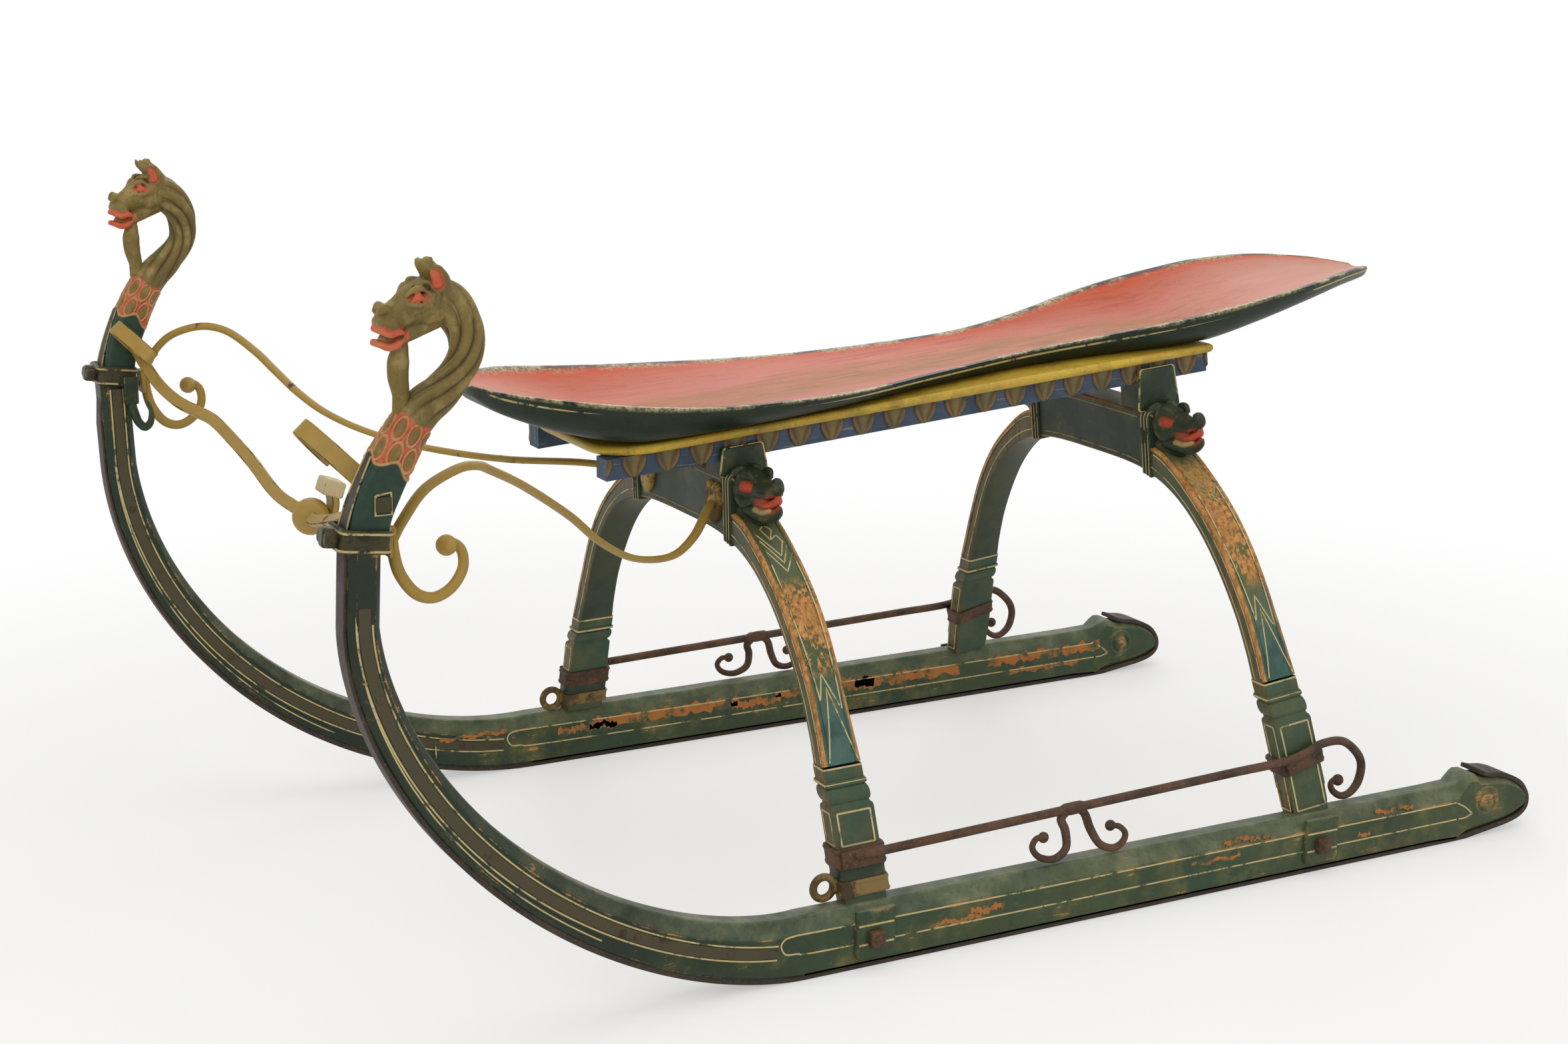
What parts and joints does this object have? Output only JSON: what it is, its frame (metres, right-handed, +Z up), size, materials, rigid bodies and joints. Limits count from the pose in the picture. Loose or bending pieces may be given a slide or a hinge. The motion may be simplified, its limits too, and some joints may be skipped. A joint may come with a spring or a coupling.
{
  "type": "horse drawn sleigh",
  "caption": "Old straddle sleigh with two curved runners ending in carved horse necks, arched stands, a boat-shaped seat and iron stays, foot rods and hooks.",
  "frame": {"origin": "middle of the sleigh's footprint on the floor", "axes": "-Y is forward, +X is the sleigh's left, +Z is up"},
  "size_m": [1.1394, 1.75, 0.8978],
  "materials": {
    "green_wood": "old dark green paint, worn",
    "beast_green": "old green paint with red mouth",
    "carved_neck": "old bronze paint over carving",
    "seat_red": "faded red paint",
    "yellow_wood": "old yellow paint",
    "blue_wood": "old blue paint",
    "iron": "dark forged iron with rust",
    "yellow_iron": "ochre paint on forged iron"
  },
  "bodies": {
    "root": {"beast_head_front_left": "beast_green", "beast_head_front_right": "beast_green", "beast_head_rear_left": "beast_green", "beast_head_rear_right": "beast_green", "cross_tie": "yellow_iron", "crossbeam_front": "green_wood", "crossbeam_rear": "green_wood", "foot_eye_left": "iron", "foot_eye_right": "iron", "foot_rod_left": "iron", "foot_rod_right": "iron", "foot_tab_front_left": "iron", "foot_tab_front_right": "iron", "foot_tab_rear_left": "iron", "foot_tab_rear_right": "iron", "horse_neck_left": "carved_neck", "horse_neck_right": "carved_neck", "neck_clamp_left": "iron", "neck_clamp_right": "iron", "neck_stay_left": "yellow_iron", "neck_stay_right": "yellow_iron", "post_front_left": "green_wood", "post_front_right": "green_wood", "post_rear_left": "green_wood", "post_rear_right": "green_wood", "rail_saddles_front": "green_wood", "rail_saddles_rear": "green_wood", "runner_left": "green_wood", "runner_right": "green_wood", "runner_shoe_left": "iron", "runner_shoe_right": "iron", "runner_strap_left": "iron", "runner_strap_right": "iron", "seat_base": "yellow_wood", "seat_rail_left": "blue_wood", "seat_rail_right": "blue_wood", "seat_shell": "seat_red", "trace_hook_left": "iron", "trace_hook_right": "iron"}
  },
  "joints": []
}
